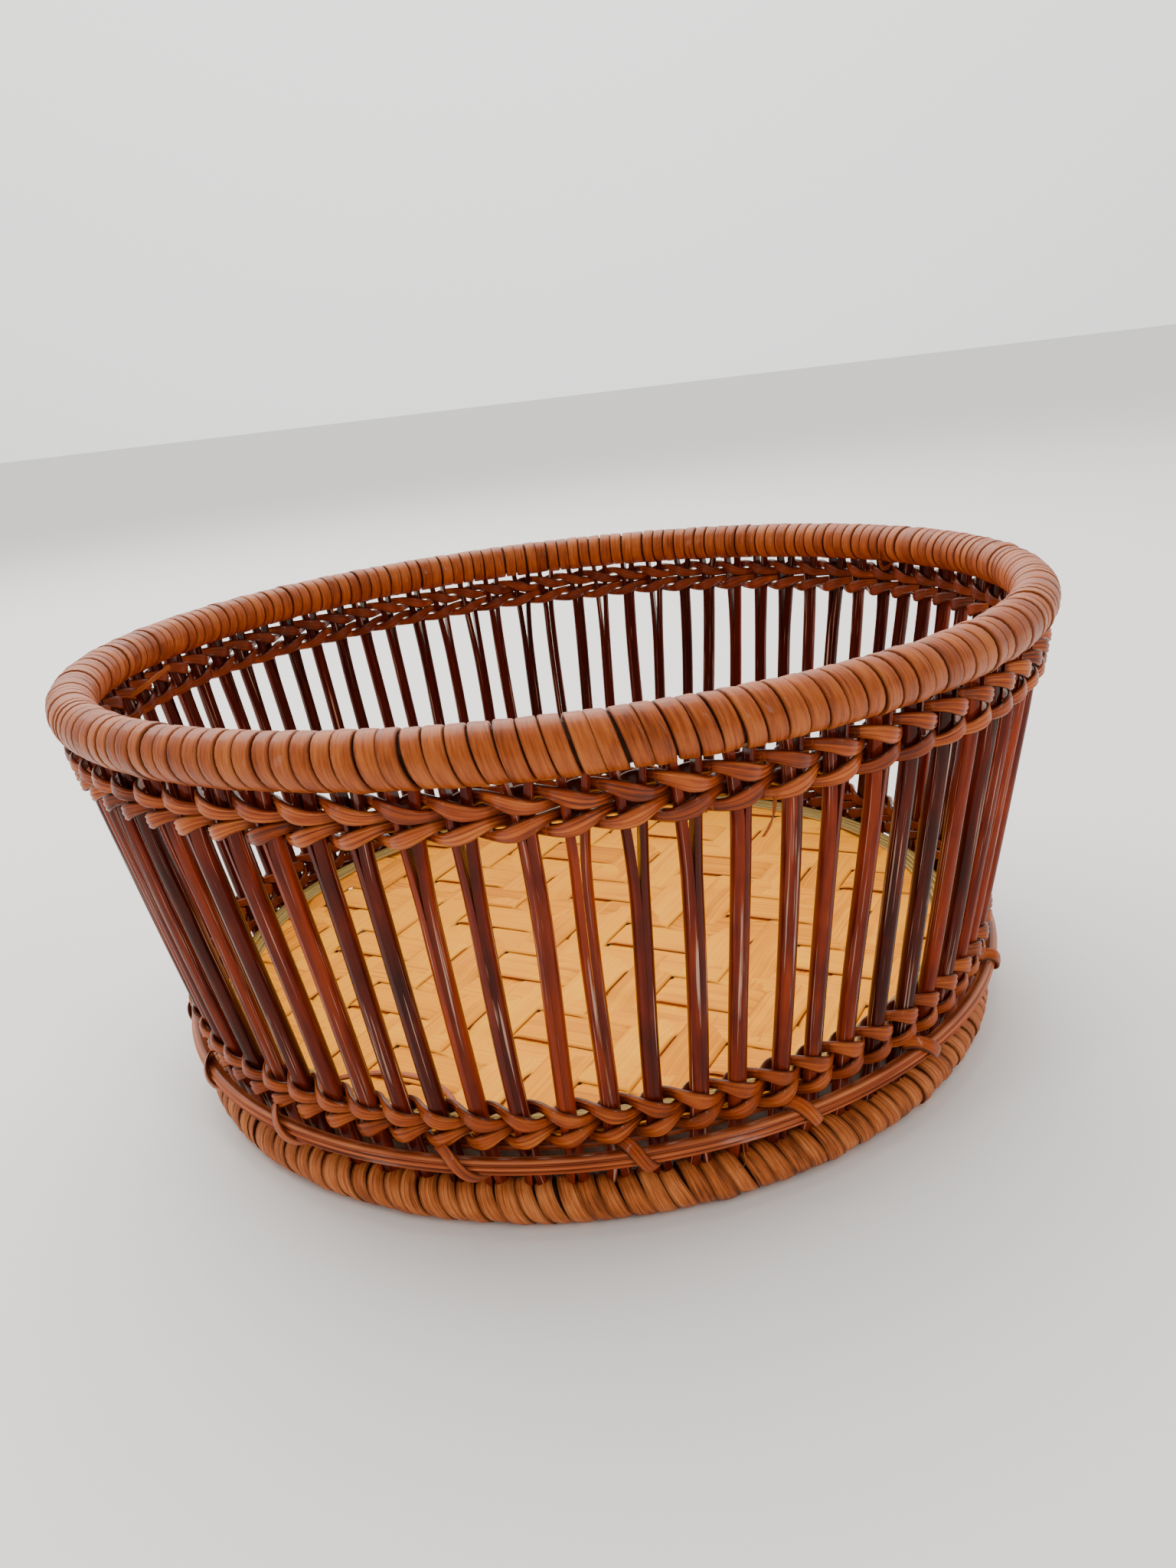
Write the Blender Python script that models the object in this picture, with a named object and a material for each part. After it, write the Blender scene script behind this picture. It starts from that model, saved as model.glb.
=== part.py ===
"""A round wicker pet bed basket, built from its separate canes.

Lengths are in metres and +Z is up. The origin is on the floor, under the middle of
the basket. Canes stand round a bamboo mat and are held by a wrapped foot ring, a
wrapped rim, two bands of twined weavers and a hoop that is lashed on outside.
"""

import math

import bmesh
import bpy

# ---- overall sizes ---------------------------------------------------------------
RIM_RADIUS = 0.160          # middle of the rim's tube, from the basket's axis
FOOT_RADIUS = 0.1396        # middle of the foot ring's tube
SIDE_HEIGHT = 0.1377        # from the middle of the foot ring up to the middle of the rim
RIM_TUBE = 0.0074           # radius of the wrapped rim, over its binding
FOOT_TUBE = 0.0063          # radius of the wrapped foot ring, over its binding
WRAP_THICKNESS = 0.0010     # flat cane that binds the rim and the foot ring

# ---- stakes ----------------------------------------------------------------------
STAKE_COUNT = 76            # an even number, because stakes are made two by two
STAKE_RADIUS = 0.0026
STAKE_LEAN_OUT = 0.0024     # how far the stakes aim outside the rim's middle
STAKE_LEAN_IN = 0.0021      # how far they aim inside the foot ring's middle
LEG_SPREAD = 0.0024         # middle of a split leg, off the stake's middle, at its tip
LEG_HALF_WIDTH = 0.0010     # half of a leg's tip, along the ring
LEG_HALF_DEPTH = 0.0014     # half of a leg's tip, across the ring
LEG_EDGE_DEPTH = 0.0009     # the same at the leg's thinner outer edge
TOP_SPLIT_DROP = 0.0138     # from the upper band down to where the stakes are split
FOOT_SPLIT_DROP = 0.0006    # from the outer hoop down to where they are split below
TAIL_THICKNESS = 0.0012     # shaved tail that joins two stakes along the foot's core

# ---- twined bands ----------------------------------------------------------------
WEAVER_THICKNESS = 0.0013
WEAVER_WIDTH = 0.0028
WEAVER_GAP = 0.00035        # between a weaver and the stake it passes
CORNER_GAP = 0.0001         # the least between a weaver and the stake's next corners
CROSSING_LIFT = 0.625       # rise where two weavers cross, as a share of their width
ROW_GAP = 0.0003            # between the two rows of a band
RIM_TO_BAND = 0.00145       # open strip under the rim
HOOP_TO_BAND = 0.0010       # open strip over the outer hoop

# ---- hoops, mat and lashing ------------------------------------------------------
OUTER_HOOP_TUBE = 0.0024
OUTER_HOOP_GAP = 0.0009     # between the stakes and the outer hoop
LEG_WINDOW = 0.0080         # open strip between the foot ring and the outer hoop
INNER_HOOP_TUBE = 0.0022
INNER_HOOP_DROP = 0.0014    # middle of the inner hoop, under the middle of the outer one
INNER_HOOP_GAP = 0.0005     # between the stakes and the inner hoop
MAT_THICKNESS = 0.0020
MAT_EDGE_GAP = 0.0008       # between the mat's edge and the stakes
SPLINT_COUNT = 3
SPLINT_WIDTH = 0.0021
SPLINT_THICKNESS = 0.0013
SPLINT_PITCH = 0.0027
SPLINT_INSET = 0.0016       # from the lowest weavers to the outermost splint
TIE_COUNT = 18
FIRST_TIE = 2               # the gap between stakes that holds the first tie
LASHING_THICKNESS = 0.0009
LASHING_WIDTH = 0.0014
TIE_SLANT = 0.0030          # how far a tie slants to each side of its place
# Where a tie lies across its slant at each eighth of its turn, from the hoop's underside.
TIE_COURSE = (-0.8, -0.7, -0.6, -0.8, -1.0, -0.8, 0.0, 0.8, 1.0)

# ---- facets ----------------------------------------------------------------------
RING_SEGMENTS = 48
CONTACT_GAP = 0.0003        # between pieces that touch
SLOT_HALF_ANGLE = math.radians(22)    # opening in a binding where the legs go in
FLAT_HALF_ANGLE = math.radians(15)    # flat that the foot rests on, and the rim's top
SIDE_STEPS = 3              # facets on each side of a bound ring, between slot and flat
HOOP_SIDES = 6

# ---- heights that follow from the sizes above ------------------------------------
STAKE_STEP = 2 * math.pi / STAKE_COUNT
FOOT_Z = FOOT_TUBE * math.cos(FLAT_HALF_ANGLE)
RIM_Z = FOOT_Z + SIDE_HEIGHT
SIDE_FACET_HALF = (math.pi - FLAT_HALF_ANGLE - SLOT_HALF_ANGLE) / SIDE_STEPS / 2
FACET_GAP = CONTACT_GAP / math.cos(SIDE_FACET_HALF)
RIM_CORE = RIM_TUBE - WRAP_THICKNESS - FACET_GAP
FOOT_CORE = FOOT_TUBE - WRAP_THICKNESS - FACET_GAP
CROSSING_RISE = CROSSING_LIFT * WEAVER_WIDTH
ROW_HALF = CROSSING_RISE + WEAVER_WIDTH / 2
ROW_PITCH = 2 * ROW_HALF + ROW_GAP
UPPER_ROWS = (RIM_Z - RIM_TUBE - RIM_TO_BAND - ROW_HALF,
              RIM_Z - RIM_TUBE - RIM_TO_BAND - ROW_HALF - ROW_PITCH)
HOOP_Z = FOOT_Z + FOOT_TUBE + LEG_WINDOW + OUTER_HOOP_TUBE
LOWER_ROWS = (HOOP_Z + OUTER_HOOP_TUBE + HOOP_TO_BAND + ROW_HALF + ROW_PITCH,
              HOOP_Z + OUTER_HOOP_TUBE + HOOP_TO_BAND + ROW_HALF)
FOOT_TIP_Z = FOOT_Z + FOOT_CORE * math.cos(SLOT_HALF_ANGLE) + CONTACT_GAP
FOOT_SPLIT_Z = HOOP_Z - OUTER_HOOP_TUBE - FOOT_SPLIT_DROP
TOP_SPLIT_Z = UPPER_ROWS[1] - ROW_HALF - TOP_SPLIT_DROP
RIM_TIP_Z = RIM_Z - RIM_CORE * math.cos(SLOT_HALF_ANGLE) - CONTACT_GAP
INNER_HOOP_Z = HOOP_Z - INNER_HOOP_DROP
MAT_BOTTOM_Z = INNER_HOOP_Z + INNER_HOOP_TUBE + CONTACT_GAP
MAT_TOP_Z = MAT_BOTTOM_Z + MAT_THICKNESS


def leaning_line(z):
    """Radius at height z of the straight line that a stake's middle follows."""
    share = (z - FOOT_Z) / SIDE_HEIGHT
    low = FOOT_RADIUS - STAKE_LEAN_IN
    high = RIM_RADIUS + STAKE_LEAN_OUT
    return low + share * (high - low)


def stake_radius_at(z):
    """Radius of the stakes' middles at height z, bent legs included."""
    if z < FOOT_SPLIT_Z:
        share = (z - FOOT_TIP_Z) / (FOOT_SPLIT_Z - FOOT_TIP_Z)
        return FOOT_RADIUS + share * (leaning_line(FOOT_SPLIT_Z) - FOOT_RADIUS)
    if z > TOP_SPLIT_Z:
        share = (z - TOP_SPLIT_Z) / (RIM_TIP_Z - TOP_SPLIT_Z)
        low = leaning_line(TOP_SPLIT_Z)
        return low + share * (RIM_RADIUS - low)
    return leaning_line(z)


def place(angle, radius, side, z):
    """Point at a radius and height, moved sideways along the ring by side."""
    return (radius * math.cos(angle) - side * math.sin(angle),
            radius * math.sin(angle) + side * math.cos(angle),
            z)


def finish(name, bm, colour, roughness, smooth_degrees=40):
    """Close a bmesh into a named object with its own material."""
    bmesh.ops.recalc_face_normals(bm, faces=bm.faces)
    mesh = bpy.data.meshes.new(name)
    bm.to_mesh(mesh)
    bm.free()
    mesh.shade_smooth()
    mesh.set_sharp_from_angle(angle=math.radians(smooth_degrees))
    material = bpy.data.materials.new(name)
    material.use_nodes = True
    shader = material.node_tree.nodes["Principled BSDF"]
    shader.inputs["Base Color"].default_value = (*colour, 1)
    shader.inputs["Roughness"].default_value = roughness
    mesh.materials.append(material)
    piece = bpy.data.objects.new(name, mesh)
    bpy.context.collection.objects.link(piece)
    return piece


def spun_ring(name, section, colour, roughness):
    """Turn a closed outline of (radius, height) points about the basket's axis."""
    bm = bmesh.new()
    corners = [bm.verts.new((radius, 0, z)) for radius, z in section]
    outline = [bm.edges.new((corners[i - 1], corners[i])) for i in range(len(corners))]
    bmesh.ops.spin(bm, geom=corners + outline, cent=(0, 0, 0), axis=(0, 0, 1),
                   angle=2 * math.pi, steps=RING_SEGMENTS, use_merge=True)
    return finish(name, bm, colour, roughness)


def closed_loft(name, rings, colour, roughness):
    """Join a closed chain of equal rings of points into one endless strand."""
    bm = bmesh.new()
    chain = [[bm.verts.new(point) for point in ring] for ring in rings]
    for i, ring in enumerate(chain):
        before = chain[i - 1]
        for j in range(len(ring)):
            bm.faces.new((before[j - 1], before[j], ring[j], ring[j - 1]))
    return finish(name, bm, colour, roughness)


def bound_angles():
    """Angles round a bound ring's section, from its slot past its flat to its slot."""
    side = (math.pi - FLAT_HALF_ANGLE - SLOT_HALF_ANGLE) / SIDE_STEPS
    half = [SLOT_HALF_ANGLE + i * side for i in range(SIDE_STEPS + 1)]
    return half + [2 * math.pi - angle for angle in reversed(half)]


def around(radius, z, tube, angles, slot_up):
    """Section points at the given angles from the slot's direction."""
    turn = 1 if slot_up else -1
    return [(radius + tube * math.sin(angle), z + turn * tube * math.cos(angle))
            for angle in angles]


def bound_ring(name, radius, z, tube, core, slot_up):
    """A ring's core and its binding, which is open where the stakes' legs go in."""
    angles = bound_angles()
    outer = around(radius, z, tube, angles, slot_up)
    inner = around(radius, z, tube - WRAP_THICKNESS, angles, slot_up)
    spun_ring(name + "_wrap", outer + inner[::-1], (0.42, 0.17, 0.06), 0.42)
    spun_ring(name + "_core", around(radius, z, core, angles, slot_up), (0.30, 0.16, 0.07), 0.6)


def round_hoop(name, radius, z, tube, colour):
    """A plain cane hoop."""
    angles = [2 * math.pi * (i + 0.5) / HOOP_SIDES for i in range(HOOP_SIDES)]
    spun_ring(name, around(radius, z, tube, angles, True), colour, 0.4)


def stake_ring(bm, angle, z):
    """Six corners of a whole stake, the first at its outer side, going round."""
    radius = stake_radius_at(z)
    corners = []
    for i in range(6):
        turn = math.radians(60 * i)
        corners.append(bm.verts.new(place(angle, radius + STAKE_RADIUS * math.cos(turn),
                                          STAKE_RADIUS * math.sin(turn), z)))
    return corners


def leg_ring(bm, angle, z, side, edge_lift=0.0):
    """Four corners of a leg's tip, in the order of the half stake that it grows from."""
    radius = stake_radius_at(z)
    near = side * (LEG_SPREAD - LEG_HALF_WIDTH)
    far = side * (LEG_SPREAD + LEG_HALF_WIDTH)
    spots = ((LEG_HALF_DEPTH, near, 0), (LEG_EDGE_DEPTH, far, edge_lift),
             (-LEG_EDGE_DEPTH, far, edge_lift), (-LEG_HALF_DEPTH, near, 0))
    return [bm.verts.new(place(angle, radius + depth, along, z + lift))
            for depth, along, lift in spots]


def wall(bm, low, high):
    """Faces between two rings of the same number of corners."""
    for i in range(len(low)):
        bm.faces.new((low[i - 1], low[i], high[i], high[i - 1]))


def half_of(ring, side):
    """The four corners of a whole stake's ring that its leg on one side keeps."""
    kept = (0, 1, 2, 3) if side > 0 else (0, 5, 4, 3)
    return [ring[i] for i in kept]


def add_stake(bm, angle, joined_side):
    """One stake, split at both ends. Returns the open foot leg on its joined side."""
    low = stake_ring(bm, angle, FOOT_SPLIT_Z)
    high = stake_ring(bm, angle, TOP_SPLIT_Z)
    wall(bm, low, high)
    open_leg = None
    for side in (1, -1):
        tip = leg_ring(bm, angle, RIM_TIP_Z, side)
        wall(bm, half_of(high, side), tip)
        bm.faces.new(tip)
        joined = side == joined_side
        foot = leg_ring(bm, angle, FOOT_TIP_Z, side, TAIL_THICKNESS if joined else 0.0)
        wall(bm, half_of(low, side), foot)
        if joined:
            open_leg = foot
        else:
            bm.faces.new(foot)
    return open_leg


def stake_pairs():
    """Stakes two by two, each pair joined by a shaved tail along the foot's core."""
    for pair in range(STAKE_COUNT // 2):
        bm = bmesh.new()
        first = add_stake(bm, 2 * pair * STAKE_STEP, 1)
        second = add_stake(bm, (2 * pair + 1) * STAKE_STEP, -1)
        wall(bm, first, second)
        finish(f"stake_pair_{pair + 1:02d}", bm, (0.115, 0.028, 0.014), 0.25)


def weaver_reach(z):
    """How far a weaver passes from a stake's middle, clear of the stake's corners."""
    half_gap = stake_radius_at(z) * STAKE_STEP / 2
    straight = STAKE_RADIUS + WEAVER_GAP + WEAVER_THICKNESS / 2
    corner_side = STAKE_RADIUS * math.sin(math.radians(60))
    corner_out = STAKE_RADIUS * math.cos(math.radians(60)) + CORNER_GAP
    slanted_half = WEAVER_THICKNESS / 2 * math.hypot(1, straight / half_gap)
    past_corner = (corner_out + slanted_half) / (1 - corner_side / half_gap)
    return max(straight, past_corner)


def weaver(name, row_z, first_side, slope):
    """One twining strand: outside one stake, inside the next, over its partner between."""
    reach = weaver_reach(row_z)
    section = ((-WEAVER_WIDTH / 2, -WEAVER_THICKNESS / 2), (0, WEAVER_THICKNESS / 2),
               (WEAVER_WIDTH / 2, -WEAVER_THICKNESS / 2))
    rings = []
    for step in range(2 * STAKE_COUNT):
        stake = step // 2
        outside = (stake + first_side) % 2 == 0
        if step % 2 == 0:
            offset = reach if outside else -reach
            z = row_z
        else:
            offset = 0.0
            z = row_z + slope * CROSSING_RISE * (1 if outside else -1)
        angle = step * STAKE_STEP / 2
        rings.append([place(angle, stake_radius_at(z + up) + offset + out, 0, z + up)
                      for up, out in section])
    closed_loft(name, rings, (0.32, 0.10, 0.04), 0.38)


def twined_band(name, rows):
    """Two rows that twist opposite ways, with two weavers in each."""
    for number, (row_z, slope) in enumerate(zip(rows, (-1, 1)), start=1):
        for letter, first_side in (("a", 0), ("b", 1)):
            weaver(f"{name}_row_{number}_weaver_{letter}", row_z, first_side, slope)


def lashing(hoop_radius):
    """A strand that runs under the outer hoop and takes a slanted turn at each tie."""
    reach = (OUTER_HOOP_TUBE + CONTACT_GAP) / math.cos(math.pi / 8) + LASHING_THICKNESS / 2
    rings = []

    def add(angle, turn, side, across):
        """One ring of the strand: turn goes round the hoop from its underside."""
        out, up = -math.sin(turn), -math.cos(turn)
        near, far = reach - LASHING_THICKNESS / 2, reach + LASHING_THICKNESS / 2
        half = LASHING_WIDTH / 2
        corners = []
        for distance, shift in ((near, -half), (far, 0.0), (near, half)):
            along = side + (0 if across else shift)
            sideways = shift if across else 0
            corners.append(place(angle, hoop_radius + distance * out + sideways, along,
                                 HOOP_Z + distance * up))
        rings.append(corners)

    for tie in range(TIE_COUNT):
        gap = FIRST_TIE + round(tie * STAKE_COUNT / TIE_COUNT)
        following = FIRST_TIE + round((tie + 1) * STAKE_COUNT / TIE_COUNT)
        angle = (gap + 0.5) * STAKE_STEP
        for i, side in enumerate(TIE_COURSE):
            add(angle, i * math.pi / 4, side * TIE_SLANT, False)
        for step in range(gap + 1, following + 1):
            add(step * STAKE_STEP, 0.0, 0.0, True)
    closed_loft("hoop_lashing", rings, (0.35, 0.13, 0.05), 0.4)


def base(inner_hoop_radius):
    """The bamboo mat, the hoop that carries it and the splints laid round its edge."""
    mat_radius = stake_radius_at(MAT_BOTTOM_Z) - STAKE_RADIUS - MAT_EDGE_GAP
    bm = bmesh.new()
    bmesh.ops.create_cone(bm, cap_ends=True, segments=RING_SEGMENTS, radius1=mat_radius,
                          radius2=mat_radius, depth=MAT_THICKNESS)
    bmesh.ops.translate(bm, verts=bm.verts, vec=(0, 0, MAT_BOTTOM_Z + MAT_THICKNESS / 2))
    finish("base_mat", bm, (0.72, 0.43, 0.17), 0.5)
    round_hoop("inner_hoop", inner_hoop_radius, INNER_HOOP_Z, INNER_HOOP_TUBE, (0.30, 0.16, 0.07))
    low = MAT_TOP_Z + CONTACT_GAP
    weavers_inside = (stake_radius_at(LOWER_ROWS[1] - ROW_HALF) - weaver_reach(LOWER_ROWS[1])
                      - WEAVER_THICKNESS / 2)
    for number in range(SPLINT_COUNT):
        outer = weavers_inside - SPLINT_INSET - number * SPLINT_PITCH
        inner = outer - SPLINT_WIDTH
        section = [(inner, low), (outer, low), (outer, low + SPLINT_THICKNESS),
                   (inner, low + SPLINT_THICKNESS)]
        spun_ring(f"mat_splint_{number + 1}", section, (0.55, 0.47, 0.22), 0.5)


def build():
    for old in list(bpy.data.objects):
        bpy.data.objects.remove(old)
    bound_ring("rim", RIM_RADIUS, RIM_Z, RIM_TUBE, RIM_CORE, slot_up=False)
    bound_ring("foot", FOOT_RADIUS, FOOT_Z, FOOT_TUBE, FOOT_CORE, slot_up=True)
    stake_pairs()
    twined_band("upper", UPPER_ROWS)
    twined_band("lower", LOWER_ROWS)
    hoop_top = HOOP_Z + OUTER_HOOP_TUBE
    outer_radius = stake_radius_at(hoop_top) + STAKE_RADIUS + OUTER_HOOP_GAP + OUTER_HOOP_TUBE
    hoop_bottom = INNER_HOOP_Z - INNER_HOOP_TUBE
    inner_radius = stake_radius_at(hoop_bottom) - STAKE_RADIUS - INNER_HOOP_GAP - INNER_HOOP_TUBE
    round_hoop("outer_hoop", outer_radius, HOOP_Z, OUTER_HOOP_TUBE, (0.30, 0.10, 0.04))
    lashing(outer_radius)
    base(inner_radius)


build()
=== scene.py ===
# %% A round wicker pet bed basket, built around its frame
# %% [markdown]
# This file rebuilds a round wicker pet bed basket as a lesson in making cane work
# with Geometry Nodes. The plain solids come in first and stay the measure of
# everything: each piece below takes its sizes from them, then stands in their place.

# %% Load the frame
import math

import bpy
import bmesh
from mathutils import Matrix, Vector


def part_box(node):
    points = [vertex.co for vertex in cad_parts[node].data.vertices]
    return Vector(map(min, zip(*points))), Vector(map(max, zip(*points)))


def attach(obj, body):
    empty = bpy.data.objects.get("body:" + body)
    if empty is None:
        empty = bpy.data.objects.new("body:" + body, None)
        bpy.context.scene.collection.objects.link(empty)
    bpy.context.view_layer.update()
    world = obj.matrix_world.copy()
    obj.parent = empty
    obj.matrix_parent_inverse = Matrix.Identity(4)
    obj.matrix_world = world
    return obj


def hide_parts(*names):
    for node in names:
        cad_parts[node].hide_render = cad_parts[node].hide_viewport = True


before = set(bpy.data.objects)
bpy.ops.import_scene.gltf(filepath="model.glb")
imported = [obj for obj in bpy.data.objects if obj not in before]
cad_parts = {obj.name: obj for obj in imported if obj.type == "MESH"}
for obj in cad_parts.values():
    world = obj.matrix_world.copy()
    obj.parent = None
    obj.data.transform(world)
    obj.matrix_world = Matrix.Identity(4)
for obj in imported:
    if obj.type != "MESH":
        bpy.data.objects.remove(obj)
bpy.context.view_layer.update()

print("plain solids:", len(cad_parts))

# %% [markdown]
# A basket is all rings. The basket stands on the origin, so the box of a plain solid
# gives its ring: the largest X is the outer radius, and the Z values are its heights.
# Taking off half the ring's own thickness leaves the circle that runs down its middle.


# %% Measure the rings
def outer_radius(node):
    """Largest distance of a round solid from the basket's axis."""
    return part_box(node)[1].x


def middle_height(node):
    """Height halfway up a solid."""
    low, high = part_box(node)
    return (low.z + high.z) / 2


# A bound ring's plain solid is a tube with flat facets, so its top, its bottom and its
# widest line lie a little inside the round tube that it stands for.
RIM_TUBE, RIM_HALF_WIDTH = 0.0074, 0.00694
FOOT_TUBE, FOOT_HALF_WIDTH = 0.0063, 0.00591
TOP_FACET = math.cos(math.radians(15))
RIM_RADIUS = outer_radius("rim_wrap") - RIM_HALF_WIDTH
RIM_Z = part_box("rim_wrap")[1].z - RIM_TUBE * TOP_FACET
FOOT_RADIUS = outer_radius("foot_wrap") - FOOT_HALF_WIDTH
FOOT_Z = FOOT_TUBE * TOP_FACET
# The stakes' middle lines lean out from the first radius to the second, ring to ring.
STAKE_FOOT_RADIUS, STAKE_RIM_RADIUS = 0.1375, 0.1624
STAKES = 76
STEP = 2 * math.pi / STAKES
MAT_LOW, MAT_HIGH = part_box("base_mat")[0].z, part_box("base_mat")[1].z
MAT_RADIUS = outer_radius("base_mat")
HOOP_TUBE, INNER_HOOP_TUBE = 0.0024, 0.0022
HOOP_Z = middle_height("outer_hoop")
HOOP_RADIUS = outer_radius("outer_hoop") - HOOP_TUBE
UPPER_ROWS = [middle_height(f"upper_row_{n}_weaver_a") for n in (1, 2)]
LOWER_ROWS = [middle_height(f"lower_row_{n}_weaver_a") for n in (1, 2)]
print(f"rim: radius {RIM_RADIUS:.4f} at height {RIM_Z:.4f}")
print(f"foot ring: radius {FOOT_RADIUS:.4f} at height {FOOT_Z:.4f}")
print(f"outer hoop: radius {HOOP_RADIUS:.4f} at height {HOOP_Z:.4f}")
print(f"mat: radius {MAT_RADIUS:.4f}, from {MAT_LOW:.4f} to {MAT_HIGH:.4f}")
print("rows:", [round(z, 4) for z in UPPER_ROWS + LOWER_ROWS])

# %% [markdown]
# Geometry Nodes can place every point of a strand by arithmetic, but wiring a sum by
# hand takes a node for each sign. The small class below lets a sum be written as a
# sum: adding, multiplying or taking the sine of a Field adds the Math node for it.


# %% Write node arithmetic as sums
def feed(tree, value, slot):
    """Link a field to a socket, or set a plain value on it."""
    if isinstance(value, Field):
        tree.links.new(value.socket, slot)
    else:
        slot.default_value = value


class Field:
    """A value in a node tree that can be added, multiplied and so on."""

    def __init__(self, tree, socket):
        self.tree = tree
        self.socket = socket

    def math(self, operation, *others):
        """Join this value and others through one Math node."""
        node = self.tree.nodes.new("ShaderNodeMath")
        node.operation = operation
        for slot, value in zip(node.inputs, (self,) + others):
            feed(self.tree, value, slot)
        return Field(self.tree, node.outputs[0])

    def __add__(self, other):
        return self.math("ADD", other)

    def __mul__(self, other):
        return self.math("MULTIPLY", other)

    def __sub__(self, other):
        return self.math("SUBTRACT", other)

    def __truediv__(self, other):
        return self.math("DIVIDE", other)

    def __mod__(self, other):
        return self.math("FLOORED_MODULO", other)

    def __rsub__(self, other):
        return self.math("MULTIPLY", -1).math("ADD", other)

    __radd__ = __add__
    __rmul__ = __mul__


def sin(x):
    return x.math("SINE")


def cos(x):
    return x.math("COSINE")


def floor(x):
    return x.math("FLOOR")


def power(x, exponent):
    return x.math("POWER", exponent)


def size_of(x):
    """x without its sign."""
    return x.math("ABSOLUTE")


def between(x, low, high):
    """x, held between two limits."""
    return x.math("MAXIMUM", low).math("MINIMUM", high)


def vector_of(tree, x, y, z):
    """Three values joined into one vector socket."""
    node = tree.nodes.new("ShaderNodeCombineXYZ")
    for slot, value in zip(node.inputs, (x, y, z)):
        feed(tree, value, slot)
    return node.outputs[0]


NOISE_MIDDLE, NOISE_GAIN = 0.5, 2.6    # Blender's noise stays near its middle, so it is spread
NOISE_APART, CHANCE_APART = 37.7, 11.3    # how far on the next seed starts


def wander(x, pace, seed):
    """Smooth chance between about -1 and 1 that changes as x does, at a given pace."""
    node = x.tree.nodes.new("ShaderNodeTexNoise")
    node.noise_dimensions = "1D"
    node.inputs["Detail"].default_value = 0
    node.inputs["Scale"].default_value = 1
    feed(x.tree, x * pace + seed * NOISE_APART, node.inputs["W"])
    return (Field(x.tree, node.outputs[0]) - NOISE_MIDDLE) * NOISE_GAIN


def chance(x, seed):
    """A fixed random value between -1 and 1 for each whole x."""
    node = x.tree.nodes.new("ShaderNodeTexWhiteNoise")
    node.noise_dimensions = "1D"
    feed(x.tree, x + seed * CHANCE_APART + 0.5, node.inputs["W"])
    return Field(x.tree, node.outputs["Value"]) * 2 - 1


print("node arithmetic is ready")

# %% [markdown]
# Cane, bamboo and rod are all one idea: a ring of points carried along a path. So each
# piece starts as flat sheets of points that know three numbers, which strand they are
# in, how many steps along it and where round its section. A rule then moves every
# point to its place. A strand that goes all the way round meets its own start, where the
# two are welded. A strand with ends closes because its last ring shrinks to one point.


# %% Make strands from a rule
def start_tree(name, sizes):
    """A new tree with named inputs. Returns the tree and the inputs as fields."""
    tree = bpy.data.node_groups.new(name, "GeometryNodeTree")
    tree.interface.new_socket("Geometry", in_out="OUTPUT", socket_type="NodeSocketGeometry")
    for label, value in sizes.items():
        kind = "NodeSocketVector" if isinstance(value, tuple) else "NodeSocketFloat"
        socket = tree.interface.new_socket(label, in_out="INPUT", socket_type=kind)
        socket.default_value = value
    given = tree.nodes.new("NodeGroupInput")
    return tree, {label: Field(tree, given.outputs[label]) for label in sizes}


def keep(tree, geometry, name, value, domain="POINT"):
    """Write a value onto the geometry under a name that materials can read."""
    node = tree.nodes.new("GeometryNodeStoreNamedAttribute")
    node.data_type = "FLOAT"
    node.domain = domain
    node.inputs["Name"].default_value = name
    tree.links.new(geometry, node.inputs["Geometry"])
    feed(tree, value, node.inputs["Value"])
    return node.outputs["Geometry"]


def recall(tree, name):
    """Read a value that was kept on the geometry."""
    node = tree.nodes.new("GeometryNodeInputNamedAttribute")
    node.data_type = "FLOAT"
    node.inputs["Name"].default_value = name
    return Field(tree, node.outputs["Attribute"])


def sheets(tree, count, along, around):
    """Bare sheets of points, with strand, step and rib kept on them."""
    grid = tree.nodes.new("GeometryNodeMeshGrid")
    grid.inputs["Vertices X"].default_value = along
    grid.inputs["Vertices Y"].default_value = around
    index = Field(tree, tree.nodes.new("GeometryNodeInputIndex").outputs[0])
    step = floor((index + 0.5) / around)
    sheet = keep(tree, grid.outputs["Mesh"], "step", step)
    sheet = keep(tree, sheet, "rib", index - recall(tree, "step") * around)
    single = tree.nodes.new("GeometryNodeGeometryToInstance")
    tree.links.new(sheet, single.inputs[0])
    copies = tree.nodes.new("GeometryNodeDuplicateElements")
    copies.domain = "INSTANCE"
    copies.inputs["Amount"].default_value = count
    tree.links.new(single.outputs[0], copies.inputs["Geometry"])
    number = Field(tree, copies.outputs["Duplicate Index"])
    numbered = keep(tree, copies.outputs["Geometry"], "strand", number, "INSTANCE")
    real = tree.nodes.new("GeometryNodeRealizeInstances")
    tree.links.new(numbered, real.inputs[0])
    return real.outputs[0]


WELD_DISTANCE = 1e-6


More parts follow.
